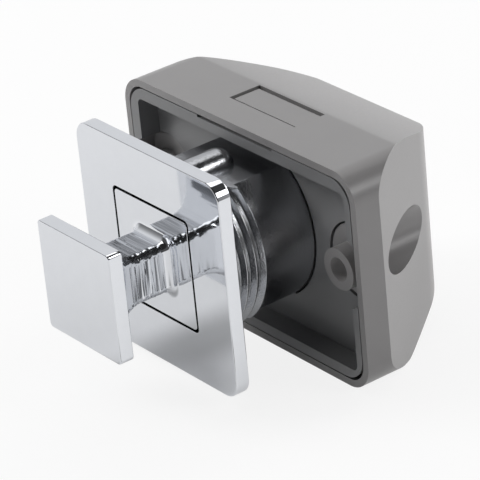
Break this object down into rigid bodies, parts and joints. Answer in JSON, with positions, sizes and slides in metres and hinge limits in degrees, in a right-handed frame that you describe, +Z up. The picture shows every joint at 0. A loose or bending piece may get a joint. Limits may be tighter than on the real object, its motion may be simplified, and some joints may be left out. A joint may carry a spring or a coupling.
{
  "type": "pushbutton cabinet latch",
  "caption": "Pushbutton cabinet latch: square pull knob in a rosette, ringed barrel through the door, and a case whose bolt rises when the knob is pushed in.",
  "frame": {"origin": "centre of the barrel's axis in the plane of the case's front rim, which lies on the door's inner face", "axes": "+Z up, the way the bolt rises; -Y out of the door's front, along the knob; +X to the right seen from the front"},
  "size_m": [0.0638, 0.0657, 0.042],
  "materials": {
    "chrome": "polished chrome plate",
    "zinc": "plain zinc die casting",
    "steel": "zinc-plated steel",
    "cover_grey": "finely grained grey plastic",
    "liner_grey": "matt darker grey plastic",
    "black": "black engineering plastic"
  },
  "bodies": {
    "case": {"rear_cover": "cover_grey", "liner": "liner_grey", "barrel": "chrome", "carrier": "zinc", "rosette": "chrome", "knob_spring": "steel", "catch_leaf": "steel", "catch_leaf_screw": "steel", "barrel_screw_1": "steel", "barrel_screw_2": "steel", "carrier_screw_1": "steel", "carrier_screw_2": "steel", "carrier_screw_3": "steel", "carrier_screw_4": "steel"},
    "knob": {"knob": "chrome", "plunger": "black", "stem_screw": "steel", "lock_washer": "steel"},
    "bolt": {"bolt": "cover_grey", "cam_pin_left": "steel", "cam_pin_right": "steel"},
    "catch": {"catch_wire": "steel"}
  },
  "joints": [
    {"name": "knob_push", "type": "slide", "parent": "case", "child": "knob", "axis": [0, 1, 0], "range_m": [0, 0.016], "stiffness_N_per_m": 250, "springref_m": -0.012, "deforming": ["knob_spring"]},
    {"name": "bolt_slide", "type": "slide", "parent": "case", "child": "bolt", "axis": [0, 0, 1], "range_m": [0, 0.008]},
    {"name": "catch_swing", "type": "hinge", "parent": "case", "child": "catch", "pos_m": [0, 0.0204, -0.0086], "axis": [0, 0, 1], "range_deg": [0, 14]}
  ],
  "couplings": [
    {"joint": "bolt_slide", "follows": "knob_push", "ratio": 0.5}
  ]
}
